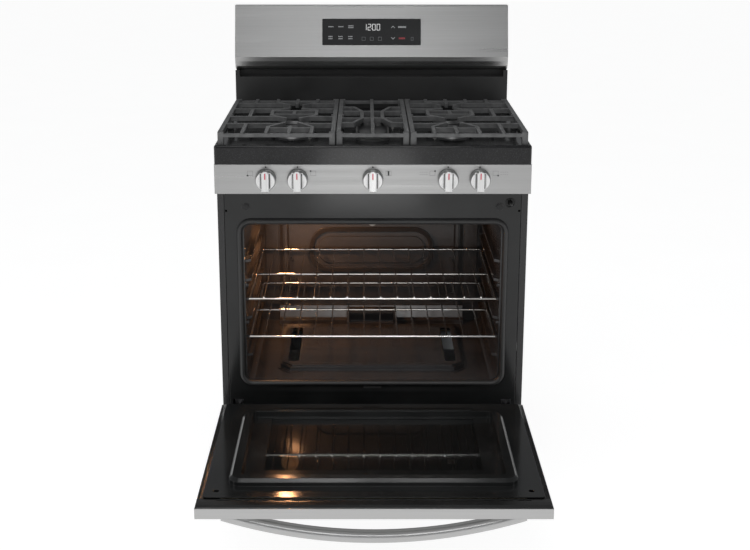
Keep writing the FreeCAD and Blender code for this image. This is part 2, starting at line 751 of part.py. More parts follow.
def grate_side():
    """The right grate: fingers that point at a front and a rear burner, and a hexagon between."""
    x0, x1 = GRATE_SPLIT_X + 1.2, GRATE_SIDE_X
    c = BURNER_X
    segments = []
    for side in (-1, 1):
        for knots in (FRONT_KNOTS, MIDDLE_KNOTS, REAR_KNOTS):
            segments += chain(c, side, knots)
    segments += [((c - 54, -242), (c + 54, -242)), ((c, GRATE_FRONT_Y + 5), (c, -218))]
    segments += [((c - 57, -50), (c + 57, -50)), ((c - 57, 4), (c + 57, 4)), ((c, -50), (c, 4))]
    segments += [((c, 118), (c, GRATE_BACK_Y - 5)), ((c - 54, 150), (c + 54, 150))]
    for y, half in ((-182, 28), (-83, 38), (33, 30), (120, 38)):
        segments.append(((x0 + 5, y), (c - half, y)))
        segments.append(((c + half, y), (x1 - 5, y)))
    for y0, y1 in ((GRATE_FRONT_Y + 5, -182), (-83, 33), (120, GRATE_BACK_Y - 5)):
        segments.append(((312, y0), (312, y1)))
    return fuse(grate_frame(x0, x1) + grate_bars(segments))


def grate_centre():
    """The middle grate: one long bar on the middle line, and a waisted bar on each side of it."""
    x = GRATE_SPLIT_X - 1.2
    segments = [((0, GRATE_FRONT_Y + 5), (0, GRATE_BACK_Y - 5))]
    for side in (-1, 1):
        segments += chain(0, side, CENTRE_KNOTS)
        for half, y in CENTRE_KNOTS:
            segments.append(((side * half, y), (side * (x - 5), y)))
    for half, y in CENTRE_KNOTS[1:-1]:
        segments.append(((-half, y), (half, y)))
    return fuse(grate_frame(-x, x) + grate_bars(segments))


# ---- Backguard ------------------------------------------------------------------------------
def on_face(shape):
    """Move a shape drawn upright at the origin on to the leaning face of the backguard."""
    shape.rotate(Vec(0, 0, 0), X_AXIS, -FACE_ANGLE)
    shape.translate(Vec(0, NOSE_Y, NOSE_Z))
    return shape


DISPLAY_X = 136.5
DISPLAY_LOW, DISPLAY_HIGH = 33.0, 106.5   # along the leaning face


def backguard_panel():
    """The stainless panel: curved under, leaning back, with closed ends and a display cut-out."""
    back = INNER_BACK_Y
    x = SIDE_X - 0.4
    outline = [
        (LIP_Y, LIP_Z),
        (LIP_Y - 9, LIP_Z + 10),
        (NOSE_Y + 2, NOSE_Z - 12),
        (NOSE_Y, NOSE_Z),
        (CREST_Y, TOP_Z),
        (back, TOP_Z),
        (back, LIP_Z),
    ]
    solid = profile_x(outline, -x, x)
    s = SHEET
    hollow_outline = [
        (LIP_Y + s, LIP_Z - 1),
        (LIP_Y - 9 + s, LIP_Z + 10.5),
        (NOSE_Y + 2 + s, NOSE_Z - 12),
        (NOSE_Y + s, NOSE_Z),
        (CREST_Y + s, TOP_Z - s),
        (back + 1, TOP_Z - s),
        (back + 1, LIP_Z - 1),
    ]
    hollow = profile_x(hollow_outline, -x + s, x - s)
    window = on_face(pad_y(-DISPLAY_X, DISPLAY_X, DISPLAY_LOW, DISPLAY_HIGH, 2, -8, 8))
    return solid.cut(hollow).cut(window)


def display_glass():
    """The black glass over the clock and the keys."""
    inset = 0.3
    return on_face(
        pad_y(
            -DISPLAY_X + inset,
            DISPLAY_X - inset,
            DISPLAY_LOW + inset,
            DISPLAY_HIGH - inset,
            1.8,
            -0.8,
            2.6,
        )
    )


def control_board():
    """The circuit board behind the glass, with its display block, relays and transformer."""
    board = box(-150, 150, 12, 13.6, 8, 88)
    blocks = [box(-40, 40, 4, 12, 36, 62)]
    for n in range(4):
        blocks.append(box(60 + n * 20, 76 + n * 20, 13.6, 26, 52, 72))
    blocks.append(box(-130, -96, 13.6, 27, 40, 66))
    for n in range(3):
        blocks.append(rod(4, (-70 + n * 14, 13.6, 30), (-70 + n * 14, 24, 30)))
    return on_face(fuse([board] + blocks))


def backguard_riser():
    """The black riser behind the grates: a front sheet folded back at the top, and two cheeks."""
    s = SHEET
    z0 = SURFACE_Z + GAP
    x = SIDE_X - 0.4
    cheek_x = x - s - GAP
    back = INNER_BACK_Y
    front = box(-x, x, RISER_Y, RISER_Y + s, z0, RISER_TOP_Z)
    fold = box(-x, x, RISER_Y, RISER_Y + 12, RISER_TOP_Z - s, RISER_TOP_Z)
    foot = box(-x, x, RISER_Y, RISER_Y + 14, z0, z0 + s)
    cheek = profile_x(
        [
            (RISER_Y, z0),
            (back, z0),
            (back, TOP_Z - 6),
            (CREST_Y + 4, TOP_Z - 6),
            (NOSE_Y + 8, NOSE_Z),
            (LIP_Y + 3, LIP_Z - 2),
            (RISER_Y, LIP_Z - 2),
        ],
        cheek_x - s,
        cheek_x,
    )
    tab = box(x - 12, x, RISER_Y, RISER_Y + s, RISER_TOP_Z, LIP_Z - GAP)
    flue_wall = box(-cheek_x, cheek_x, back - 30, back - 30 + s, z0, LIP_Z + 20)
    return fuse([front, fold, foot, flue_wall] + both_sides(cheek) + both_sides(tab))


# ---- Door (built open, lying level) -----------------------------------------------------------
def door_skin():
    """The stainless outer skin: a face with folded edges and a window opening."""
    y0, y1 = door_y(DOOR_END_U), door_y(DOOR_START_U)
    outer = box(-DOOR_X, DOOR_X, y0, y1, DOOR_FACE_Z, DOOR_SIDE_Z)
    inner = box(
        -DOOR_X + SHEET,
        DOOR_X - SHEET,
        y0 + SHEET,
        y1 - SHEET,
        DOOR_FACE_Z + SHEET,
        DOOR_SIDE_Z + 1,
    )
    window = pad_z(-262, 262, door_y(404), door_y(72), 10, DOOR_FACE_Z - 1, DOOR_FACE_Z + 5)
    skin = outer.cut(inner).cut(window)
    notches = []
    for sign in (-1, 1):
        low, high = sorted((sign * (HINGE_ARM_X - 14), sign * (HINGE_ARM_X + 14)))
        notches.append(box(low, high, y1 - 4, y1 + 1, DOOR_FACE_Z + SHEET, DOOR_SIDE_Z + 1))
    return skin.cut(group(notches))


def door_outer_glass():
    """The dark outer pane behind the skin's opening."""
    z0 = DOOR_FACE_Z + SHEET + GAP
    return pad_z(-282, 282, door_y(424), door_y(52), 6, z0, z0 + 4)


PANE_LAP = 14.0               # how far the inner pane reaches past the window opening


def door_inner_glass():
    """The inner pane, held under the liner's window opening."""
    z1 = DOOR_LINER_Z - 1.5 - GAP
    x = WINDOW_X + PANE_LAP
    y0, y1 = door_y(WINDOW_END_U + PANE_LAP), door_y(WINDOW_START_U - PANE_LAP)
    return pad_z(-x, x, y0, y1, 6, z1 - 4, z1)


def door_liner():
    """The enamelled liner: a flat border, a raised rib that enters the oven and the window."""
    sheet = 1.5
    top = DOOR_LINER_Z
    x = 366.0
    u0, u1 = 6.0, 519.0
    plate = pad_z(-x, x, door_y(u1), door_y(u0), 10, top - sheet, top)
    skirt = plate_skirt(x, u0, u1, top)
    near, far = door_y(RIDGE_START_U), door_y(RIDGE_END_U)
    outer = pad_z(-RIDGE_X, RIDGE_X, far, near, 28, top - sheet, RIDGE_Z)
    rim = edges_where(outer, lambda p, e: abs(p.z - RIDGE_Z) < 0.01)
    outer = outer.makeChamfer(7, rim)
    width = 26.0
    dip = pad_z(
        -RIDGE_X + width,
        RIDGE_X - width,
        door_y(RIDGE_END_U - width),
        door_y(RIDGE_START_U + 9),
        12,
        top,
        RIDGE_Z + 1,
    )
    under = pad_z(
        -RIDGE_X + 4,
        RIDGE_X - 4,
        door_y(RIDGE_END_U - 4),
        door_y(RIDGE_START_U + 3),
        24,
        top - sheet - 1,
        RIDGE_Z - 7.5,
    )
    core = pad_z(
        -RIDGE_X + width - 4,
        RIDGE_X - width + 4,
        door_y(RIDGE_END_U - width + 4),
        door_y(RIDGE_START_U + 6.5),
        14,
        top - sheet - 2,
        RIDGE_Z,
    )
    window = pad_z(
        -WINDOW_X,
        WINDOW_X,
        door_y(WINDOW_END_U),
        door_y(WINDOW_START_U + 8),
        4,
        top - sheet - 2,
        RIDGE_Z + 2,
    )
    step = pad_z(-WINDOW_X - 3, WINDOW_X + 3, door_y(55), door_y(40), 4, top - 1, top + 4)
    liner = fuse([plate, outer, step] + skirt).cut(dip).cut(under.cut(core)).cut(window)
    holes = both_sides(rod(6, (339, -800, top - 5), (339, -800, top + 2)))
    return liner.cut(group(holes))


def plate_skirt(x, u0, u1, top):
    """Folded edges below the liner's plate, down towards the skin."""
    low = DOOR_FACE_Z + SHEET + GAP
    side = box(x - SHEET, x, door_y(u1 - 12), door_y(u0 + 12), low, top - 0.5)
    return both_sides(side)


def door_insulation():
    """The wool blanket round the window inside the door."""
    z0 = DOOR_FACE_Z + SHEET + 5
    z1 = DOOR_LINER_Z - 8
    blanket = box(-328, 328, door_y(500), door_y(24), z0, z1)
    hole = box(-286, 286, door_y(428), door_y(48), z0 - 1, z1 + 1)
    return blanket.cut(hole)


def door_trim():
    """The black trim that closes the door's top edge, rounded towards the face, with air slots."""
    u0, u1 = 520.0, DOOR_END_U - SHEET - GAP
    z0 = DOOR_FACE_Z + SHEET + 3
    crown = [
        (door_y(u0), z0),
        (door_y(u0), 250.8),
        (door_y(u0 + 14), 250.8),
        (door_y(u0 + 26), 249.8),
        (door_y(u1 - 3), 247.6),
        (door_y(u1), 245.5),
        (door_y(u1), z0),
    ]
    x = DOOR_X - SHEET - GAP
    trim = profile_x(crown, -x, x)
    slots = []
    for n in range(-8, 9):
        mid = n * 40.0
        slots.append(box(mid - 14, mid + 14, door_y(u0 + 9), door_y(u0 + 5), z0 - 1, 254))
    hollow = box(-x + 2, x - 2, door_y(u1 - 2), door_y(u0 + 2), z0 - 1, 243)
    return trim.cut(hollow).cut(group(slots))


HANDLE_HALF = 325.0
HANDLE_U = 508.5
HANDLE_BOW = 66.0             # how far the middle of the bar stands off the door's face
HANDLE_RADIUS = 14.5


def door_handle():
    """The bowed stainless bar, swept along an arc whose ends meet the door's face."""
    face = DOOR_FACE_Z - 0.2
    mid_z = face - HANDLE_BOW
    y = door_y(HANDLE_U)
    end = face - HANDLE_RADIUS + 0.5
    arc = Part.Arc(Vec(-HANDLE_HALF, y, end), Vec(0, y, mid_z), Vec(HANDLE_HALF, y, end)).toShape()
    path = Part.Wire([arc])
    tangent = arc.tangentAt(arc.FirstParameter)
    section = Part.makeCircle(HANDLE_RADIUS, Vec(-HANDLE_HALF, y, end), tangent)
    ring = Part.Wire([section])
    bar = path.makePipeShell([ring], True, False)
    posts = []
    for sign in (-1, 1):
        low, high = sorted((sign * (HANDLE_HALF - 36), sign * (HANDLE_HALF + 2)))
        posts.append(pad_z(low, high, y - 13, y + 13, 10, face - 18, face))
    return fuse([bar] + posts)


ARM_HALF = 4.0


def door_hinge_arms():
    """A flat arm inside each side of the door, bored for the hinge pin."""
    outline = [
        (door_y(150), 228),
        (door_y(150), 247),
        (door_y(20), 247),
        (door_y(2), 236.5),
        (door_y(-4.6), 234.0),
        (door_y(-4.6), 228.0),
        (door_y(2), 226.5),
    ]
    arm = profile_x(outline, HINGE_ARM_X - ARM_HALF, HINGE_ARM_X + ARM_HALF)
    bore = rod(3.0 + FIT, (HINGE_ARM_X - 10, HINGE_Y, HINGE_Z), (HINGE_ARM_X + 10, HINGE_Y, HINGE_Z))
    return group(both_sides(arm.cut(bore)))


def hinge_receivers():
    """The fork on the cabinet that carries each hinge pin."""
    pieces = []
    x = HINGE_ARM_X
    for low, high in ((x - 10, x - ARM_HALF - GAP), (x + ARM_HALF + GAP, x + 10)):
        beam = box(low, high, HINGE_Y, -190, HINGE_Z - 5, HINGE_Z + 5)
        pieces += [beam, rod(5, (low, HINGE_Y, HINGE_Z), (high, HINGE_Y, HINGE_Z))]
    pieces.append(box(x - 10, x + 10, -255, -190, HINGE_Z - 5, HINGE_Z + 12))
    pieces.append(rod(3.0, (x - 9, HINGE_Y, HINGE_Z), (x + 9, HINGE_Y, HINGE_Z)))
    fork = fuse(pieces)
    return group(both_sides(fork))


# ---- Racks ----------------------------------------------------------------------------------
RACK_HALF_X = 308.0
RACK_FRONT_Y = -262.0
RACK_MIDDLE_Y = -50.0
RACK_BACK_Y = 190.0
RACK_RAIL = 2.8
RACK_WIRE = 1.8
WIRE_PITCH = 41.7


def rack(height):
    """A wire rack: four outer rails, a middle rail, and wires over them from front to back."""
    pieces = []
    for y in (RACK_FRONT_Y, RACK_MIDDLE_Y, RACK_BACK_Y):
        pieces.append(rod(RACK_RAIL, (-RACK_HALF_X, y, 0), (RACK_HALF_X, y, 0)))
    for x in (-RACK_HALF_X, RACK_HALF_X):
        pieces.append(rod(RACK_RAIL, (x, RACK_FRONT_Y, 0), (x, RACK_BACK_Y, 0)))
        for y in (RACK_FRONT_Y, RACK_BACK_Y):
            pieces.append(Part.makeSphere(RACK_RAIL, Vec(x, y, 0)))
    wire_z = RACK_RAIL + RACK_WIRE - 0.6
    for n in range(14):
        x = (n - 6.5) * WIRE_PITCH
        pieces.append(rod(RACK_WIRE, (x, RACK_FRONT_Y - 1, wire_z), (x, RACK_BACK_Y + 1, wire_z)))
    frame = fuse(pieces)
    frame.translate(Vec(0, 0, height))
    return frame


# ---- Drawer ---------------------------------------------------------------------------------
def drawer_front():
    """The stainless drawer front with folded edges and a finger pull along its top."""
    back = FRONT_Y + 16
    outer = box(-DOOR_X, DOOR_X, FRONT_Y, back, DRAWER_BOTTOM_Z, DRAWER_TOP_Z)
    edge = edges_where(outer, lambda p, e: abs(p.y - FRONT_Y) < 0.01)
    outer = outer.makeFillet(2, edge)
    s = SHEET
    inner = box(-DOOR_X + s, DOOR_X - s, FRONT_Y + s, back + 1, DRAWER_BOTTOM_Z + s, DRAWER_TOP_Z - s)
    return outer.cut(inner)


def drawer_box():
    """The storage drawer behind the front: an open steel tray."""
    y0, y1 = FRONT_Y + 16 + GAP, 250.0
    x = 352.0
    z0, z1 = 60.0, 190.0
    outer = box(-x, x, y0, y1, z0, z1)
    inner = box(-x + SHEET, x - SHEET, y0 + SHEET, y1 - SHEET, z0 + SHEET, z1 + 1)
    rails = both_sides(box(x, x + 8, y0, y1, z1 - 26, z1 - 14))
    plate = box(-x, x, FRONT_Y + 16, y0 + 1, z0, z1)
    return fuse([outer.cut(inner), plate] + rails)


def light_switch_plunger():
    """The sprung pin that the door's edge pushes to put the oven lamp out."""
    shaft = rod(5, (336, -293, 763), (336, -252, 763))
    tip = Part.makeSphere(5, Vec(336, -293, 763))
    flange = rod(9, (336, -262, 763), (336, -258, 763))
    return fuse([shaft, tip, flange])


# ---- Build ----------------------------------------------------------------------------------
os.makedirs("parts", exist_ok=True)

right_side = side_panel()
save("side_panel_right", right_side)
save("side_panel_left", mirror_x(right_side))
save("back_covers", back_covers())
save("base_pan", base_pan())
save("levelling_legs", levelling_legs())
save("front_frame", front_frame())
save("frame_screws", frame_screws())
save("frame_gasket", frame_gasket())
save("oven_liner", oven_liner())
save("oven_insulation", oven_insulation())
save("oven_floor_plate", oven_floor_plate())
save("bake_burner", bake_burner())
save("broil_burner", broil_burner())
save("oven_lamp", oven_lamp())
save("temperature_probe", temperature_probe())
save("control_panel", control_panel())
save("gas_manifold", gas_manifold())
save("igniters", igniters())
save("cooktop", cooktop())
for number, knob_x in enumerate(KNOB_XS, 1):
    save("valve_stem_" + str(number), valve_stem(knob_x))
    save("knob_" + str(number), knob(knob_x))
for place, (burner_x, burner_y) in ROUND_BURNERS.items():
    save("burner_head_" + place, burner_head(burner_x, burner_y))
    save("burner_cap_" + place, burner_cap(burner_x, burner_y))
save("burner_head_centre", burner_head_oval())
save("burner_cap_centre", burner_cap_oval())
right_grate = grate_side()
save("grate_right", right_grate)
save("grate_left", mirror_x(right_grate))
save("grate_centre", grate_centre())
save("backguard_panel", backguard_panel())
save("backguard_riser", backguard_riser())
save("display_glass", display_glass())
save("control_board", control_board())
save("hinge_receivers", hinge_receivers())
save("door_skin", door_skin())
save("door_liner", door_liner())
save("door_outer_glass", door_outer_glass())
save("door_inner_glass", door_inner_glass())
save("door_insulation", door_insulation())
save("door_trim", door_trim())
save("door_handle", door_handle())
save("door_hinge_arms", door_hinge_arms())
for rack_name, rack_z in zip(("rack_lower", "rack_upper"), RACK_HEIGHTS):
    save(rack_name, rack(rack_z))
save("drawer_front", drawer_front())
save("drawer_box", drawer_box())
save("light_switch_plunger", light_switch_plunger())
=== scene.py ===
import json
import math

import bpy
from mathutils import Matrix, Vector

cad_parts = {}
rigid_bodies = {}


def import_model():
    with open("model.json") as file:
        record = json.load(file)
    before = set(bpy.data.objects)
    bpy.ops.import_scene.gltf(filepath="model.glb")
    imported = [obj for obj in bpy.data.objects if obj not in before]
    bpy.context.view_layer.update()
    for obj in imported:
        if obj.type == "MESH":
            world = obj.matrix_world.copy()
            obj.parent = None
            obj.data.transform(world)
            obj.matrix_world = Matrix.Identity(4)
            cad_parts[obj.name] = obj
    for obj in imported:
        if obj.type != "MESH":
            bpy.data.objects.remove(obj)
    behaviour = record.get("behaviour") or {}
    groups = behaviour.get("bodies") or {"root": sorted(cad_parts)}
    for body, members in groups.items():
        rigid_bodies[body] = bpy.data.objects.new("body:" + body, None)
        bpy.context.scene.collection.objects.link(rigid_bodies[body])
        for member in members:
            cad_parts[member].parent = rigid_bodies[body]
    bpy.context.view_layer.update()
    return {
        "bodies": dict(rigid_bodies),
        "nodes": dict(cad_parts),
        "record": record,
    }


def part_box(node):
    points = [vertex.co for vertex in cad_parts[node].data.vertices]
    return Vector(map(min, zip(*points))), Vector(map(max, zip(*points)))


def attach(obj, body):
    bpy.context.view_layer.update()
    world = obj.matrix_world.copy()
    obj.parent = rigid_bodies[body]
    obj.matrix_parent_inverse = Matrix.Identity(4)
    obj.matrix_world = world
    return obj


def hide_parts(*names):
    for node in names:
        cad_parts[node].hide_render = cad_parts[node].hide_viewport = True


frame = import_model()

NODES = frame["nodes"]
MM = 0.001


# ---- Camera and studio --------------------------------------------------------------------
CAMERA_PLACE = (-0.0217, -3.3617, 1.5216)
CAMERA_PITCH = 15.0     # degrees below level
CAMERA_LENS = 62.53     # millimetres, as is the sensor's width
SENSOR_WIDTH = 36.0
CAMERA_SHIFT = (0.015, -0.06)

FLOOR_REACH = 14.0
FLOOR_DROP = 0.0005     # keeps the floor just clear of the levelling legs
SEEN_BACKDROP = 1.0
REFLECTED_BACKDROP = 0.23
FLOOR_GLOW = 0.9

# Each studio light: its name, place, aim, width and height in metres, and watts.
SOFTBOXES = [
    ("floor_card", (0.0, -3.95, 0.05), (0.0, -3.95, 1.0), (0.5, 1.7), 6.4),
    ("high_front_box", (0.0, -3.8, 2.2), (0.0, 0.0, 0.4), (1.0, 0.8), 9),
    ("edge_strip", (0.0, -2.05, 3.2), (0.0, -0.7, 0.2), (0.9, 0.14), 5.5),
    ("top_box", (-0.6, -1.4, 3.6), (0.0, -0.3, 0.5), (1.8, 2.2), 19),
    ("left_box", (-3.6, -1.6, 1.9), (0.0, -0.2, 0.7), (1.0, 2.0), 14),
    ("right_box", (3.6, -1.6, 1.9), (0.0, -0.2, 0.7), (1.0, 2.0), 9),
]


def make_camera():
    """A camera in front of the range, a little above it and tilted down to it."""
    data = bpy.data.cameras.new("camera")
    data.lens = CAMERA_LENS
    data.sensor_width = SENSOR_WIDTH
    data.shift_x, data.shift_y = CAMERA_SHIFT
    camera = bpy.data.objects.new("camera", data)
    camera.location = CAMERA_PLACE
    camera.rotation_euler = (math.radians(90.0 - CAMERA_PITCH), 0.0, 0.0)
    bpy.context.scene.collection.objects.link(camera)
    bpy.context.scene.camera = camera


def make_softbox(name, place, aim, size, watts):
    """A rectangular studio light that points at a place and isn't itself seen by the camera."""
    data = bpy.data.lights.new(name, "AREA")
    data.shape = "RECTANGLE"
    data.size, data.size_y = size
    data.energy = watts
    light = bpy.data.objects.new(name, data)
    light.location = place
    direction = Vector(aim) - Vector(place)
    light.rotation_euler = direction.to_track_quat("-Z", "Y").to_euler()
    light.visible_camera = False
    bpy.context.scene.collection.objects.link(light)


def make_world():
    """A pale backdrop all round, with a softer level for what the object reflects."""
    world = bpy.data.worlds.new("studio")
    bpy.context.scene.world = world
    world.use_nodes = True
    tree = world.node_tree
    tree.nodes.clear()
    out = tree.nodes.new("ShaderNodeOutputWorld")
    mix = tree.nodes.new("ShaderNodeMixShader")
    path = tree.nodes.new("ShaderNodeLightPath")
    seen = tree.nodes.new("ShaderNodeBackground")
    seen.inputs["Color"].default_value = (1.0, 1.0, 1.0, 1.0)
    seen.inputs["Strength"].default_value = SEEN_BACKDROP
    lit = tree.nodes.new("ShaderNodeBackground")
    lit.inputs["Color"].default_value = (0.96, 0.98, 1.0, 1.0)
    lit.inputs["Strength"].default_value = REFLECTED_BACKDROP
    tree.links.new(path.outputs["Is Camera Ray"], mix.inputs["Fac"])
    tree.links.new(lit.outputs[0], mix.inputs[1])
    tree.links.new(seen.outputs[0], mix.inputs[2])
    tree.links.new(mix.outputs[0], out.inputs["Surface"])


def make_floor(finish):
    """A wide pale floor."""
    mesh = bpy.data.meshes.new("studio_floor")
    reach = FLOOR_REACH
    corners = [(-reach, -reach, 0), (reach, -reach, 0), (reach, reach, 0), (-reach, reach, 0)]
    mesh.from_pydata(corners, [], [(0, 1, 2, 3)])
    mesh.materials.append(finish)
    floor = bpy.data.objects.new("studio_floor", mesh)
    floor.location.z = -FLOOR_DROP
    bpy.context.scene.collection.objects.link(floor)


# ---- Finishes -----------------------------------------------------------------------------
class Finish:
    """A node material, with short calls for the nodes that the finishes share."""

    def __init__(self, name, color, roughness, metallic=0.0, **sockets):
        self.material = bpy.data.materials.new(name)
        self.material.use_nodes = True
        self.tree = self.material.node_tree
        self.shader = self.tree.nodes["Principled BSDF"]
        self.shader.inputs["Base Color"].default_value = (*color, 1.0)
        self.shader.inputs["Roughness"].default_value = roughness
        self.shader.inputs["Metallic"].default_value = metallic
        for socket, value in sockets.items():
            self.shader.inputs[socket.replace("_", " ")].default_value = value

    def node(self, kind, **settings):
        """A new node with some of its settings."""
        made = self.tree.nodes.new(kind)
        for key, value in settings.items():
            setattr(made, key, value)
        return made

    def link(self, source, target):
        self.tree.links.new(source, target)

    def place(self, stretch=(1.0, 1.0, 1.0)):
        """The point on the object, in metres, stretched per axis."""
        coords = self.node("ShaderNodeTexCoord")
        mapping = self.node("ShaderNodeMapping")
        mapping.inputs["Scale"].default_value = stretch
        self.link(coords.outputs["Object"], mapping.inputs["Vector"])
        return mapping.outputs["Vector"]

    def noise(self, vector, scale, detail=3.0, roughness=0.5):
        """Cloudy noise at a point."""
        made = self.node("ShaderNodeTexNoise")
        made.inputs["Scale"].default_value = scale
        made.inputs["Detail"].default_value = detail
        made.inputs["Roughness"].default_value = roughness
        self.link(vector, made.inputs["Vector"])
        return made.outputs["Fac"]

    def cells(self, vector, scale):
        """The distance to the nearest of many scattered dots."""
        made = self.node("ShaderNodeTexVoronoi")
        made.inputs["Scale"].default_value = scale
        self.link(vector, made.inputs["Vector"])
        return made.outputs["Distance"]

    def spread(self, value, low, high, start=0.3, end=0.7):
        """Maps a texture's middle range to the range a socket wants."""
        made = self.node("ShaderNodeMapRange")
        made.inputs["From Min"].default_value = start
        made.inputs["From Max"].default_value = end
        made.inputs["To Min"].default_value = low
        made.inputs["To Max"].default_value = high
        self.link(value, made.inputs["Value"])
        return made.outputs["Result"]

    def blend_color(self, amount, first, second):
        """Mixes two colours, each a plain colour or another node's output, by a texture."""
        made = self.node("ShaderNodeMix", data_type="RGBA")
        for socket, color in ((made.inputs[6], first), (made.inputs[7], second)):
            if isinstance(color, tuple):
                socket.default_value = (*color, 1.0)
            else:
                self.link(color, socket)
        self.link(amount, made.inputs[0])
        return made.outputs[2]

    def soft_edges(self, radius):
        """Shades sharp edges as if they were rounded, as enamel and castings are."""
        made = self.node("ShaderNodeBevel", samples=4)
        made.inputs["Radius"].default_value = radius
        self.link(made.outputs["Normal"], self.shader.inputs["Normal"])

    def color(self, value):
        self.link(value, self.shader.inputs["Base Color"])

    def rough(self, value):
        self.link(value, self.shader.inputs["Roughness"])

    def bump(self, height, strength, distance):
        """Adds fine relief; several calls stack up."""
        made = self.node("ShaderNodeBump")
        made.inputs["Strength"].default_value = strength
        made.inputs["Distance"].default_value = distance
        self.link(height, made.inputs["Height"])
        socket = self.shader.inputs["Normal"]
        if socket.is_linked:
            self.link(socket.links[0].from_socket, made.inputs["Normal"])
        self.link(made.outputs["Normal"], socket)


def brushed_steel(name, grain=(3.0, 420.0, 420.0), tone=0.63):
    """Stainless steel with a fine straight grain along one axis."""
    finish = Finish(name, (tone, tone, tone), 0.3, 1.0)
    fine = finish.noise(finish.place(grain), 1.0, 6.0, 0.62)
    broad = finish.noise(finish.place(tuple(g * 0.2 for g in grain)), 1.0, 3.0, 0.55)
    light = (tone * 1.03, tone * 1.03, tone * 1.025)
    dark = (tone * 0.93, tone * 0.93, tone * 0.925)
    finish.soft_edges(0.0012)
    finish.color(finish.blend_color(finish.spread(fine, 0.0, 1.0), dark, light))
    finish.rough(finish.spread(broad, 0.27, 0.36))
    finish.bump(fine, 0.02, 0.0002)
    return finish.material


def enamel(name, tone, roughness=0.12, speck=0.0, peel=0.05, edge=0.0022, gloss=0.5):
    """Glossy fired enamel with a slight orange peel, and pale specks where it is mottled."""
    finish = Finish(name, tone, roughness, 0.0, IOR=1.5, Specular_IOR_Level=gloss)
    finish.soft_edges(edge)
    place = finish.place()
    cloud = finish.noise(place, 9.0, 4.0)
    pale = tuple(c * 1.5 + 0.002 for c in tone)
    shade = finish.blend_color(finish.spread(cloud, 0.0, 1.0), tone, pale)
    if speck:
        dots = finish.cells(place, 420.0)
        shade = finish.blend_color(
            finish.spread(dots, speck, 0.0, 0.05, 0.28), shade, (0.32, 0.33, 0.36)
        )
    finish.color(shade)
    finish.rough(finish.spread(cloud, roughness * 0.8, roughness * 1.35))
    finish.bump(finish.noise(place, 260.0, 2.0), peel, 0.0006)
    return finish.material


def cast_iron():
    """Matte porcelain-coated iron: sandy relief and slightly worn, paler high spots."""
    finish = Finish("cast_iron", (0.035, 0.036, 0.037), 0.5, 0.0, IOR=1.5)
    finish.soft_edges(0.0018)
    place = finish.place()
    sand = finish.noise(place, 900.0, 4.0, 0.6)
    lumps = finish.noise(place, 60.0, 3.0)
    dark, pale, worn = (0.085, 0.086, 0.087), (0.145, 0.146, 0.147), (0.14, 0.14, 0.14)
    shade = finish.blend_color(finish.spread(lumps, 0.0, 1.0), dark, pale)
    shade = finish.blend_color(finish.spread(sand, 0.0, 0.5, 0.5, 0.8), shade, worn)
    finish.color(shade)
    finish.rough(finish.spread(sand, 0.34, 0.52))
    finish.bump(sand, 0.3, 0.0006)
    finish.bump(lumps, 0.12, 0.002)
    return finish.material


def polished_wire():
    """Bright chrome-plated wire with a little heat tint."""
    finish = Finish("rack_chrome", (0.86, 0.86, 0.85), 0.1, 1.0)
    tint = finish.noise(finish.place(), 14.0, 3.0)
    clean, warm = (0.9, 0.9, 0.9), (0.78, 0.74, 0.68)
    finish.color(finish.blend_color(finish.spread(tint, 0.0, 1.0), clean, warm))
    finish.rough(finish.spread(finish.noise(finish.place(), 300.0), 0.06, 0.12))
    return finish.material


def cast_metal(name, tone, roughness=0.42, metallic=1.0, grain=700.0):
    """Die-cast or plated metal with a fine sandy grain."""
    finish = Finish(name, tone, roughness, metallic)
    sand = finish.noise(finish.place(), grain, 4.0)
    darker = tuple(c * 0.82 for c in tone)
    finish.color(finish.blend_color(finish.spread(sand, 0.0, 1.0), darker, tone))
    finish.rough(finish.spread(sand, roughness * 0.8, roughness * 1.25))
    finish.bump(sand, 0.12, 0.0005)
    return finish.material


def zinc_sheet():
    """Galvanised sheet with its crystal spangle."""
    finish = Finish("galvanised", (0.56, 0.57, 0.58), 0.42, 1.0)
    spangle = finish.node("ShaderNodeTexVoronoi")
    spangle.inputs["Scale"].default_value = 60.0
    finish.link(finish.place(), spangle.inputs["Vector"])
    tone = finish.node("ShaderNodeSeparateColor")
    finish.link(spangle.outputs["Color"], tone.inputs["Color"])
    value = tone.outputs["Red"]
    finish.color(finish.blend_color(value, (0.47, 0.48, 0.49), (0.62, 0.63, 0.64)))
    finish.rough(finish.spread(value, 0.34, 0.52, 0.0, 1.0))
    return finish.material


def fibre(name, tone, scale, relief):
    """Woven or felted fibre, rough and soft."""
    finish = Finish(name, tone, 0.85, 0.0)
    strands = finish.noise(finish.place((1.0, 1.0, 6.0)), scale, 5.0, 0.7)
    darker = tuple(c * 0.45 for c in tone)
    finish.color(finish.blend_color(finish.spread(strands, 0.0, 1.0), darker, tone))
    finish.bump(strands, 0.8, relief)
    return finish.material


def gasket_rope():
    """Dark glass-fibre braid with a slight sheen on its crown."""
    finish = Finish("gasket", (0.022, 0.022, 0.022), 0.42, 0.0, IOR=1.5)
    braid = finish.noise(finish.place(), 700.0, 3.0)
    dark, pale = (0.015, 0.015, 0.015), (0.04, 0.04, 0.04)
    finish.color(finish.blend_color(finish.spread(braid, 0.0, 1.0), dark, pale))
    finish.bump(braid, 0.25, 0.0004)
    return finish.material


def moulded_plastic(name, tone, roughness=0.4):
    """Moulded plastic with a fine spark texture."""
    finish = Finish(name, tone, roughness, 0.0, IOR=1.46)
    spark = finish.noise(finish.place(), 1500.0, 2.0)
    finish.rough(finish.spread(spark, roughness * 0.85, roughness * 1.2))
    pale = tuple(c * 1.3 + 0.004 for c in tone)
    finish.color(finish.blend_color(finish.spread(spark, 0.0, 1.0), tone, pale))
    finish.bump(spark, 0.15, 0.0003)
    return finish.material


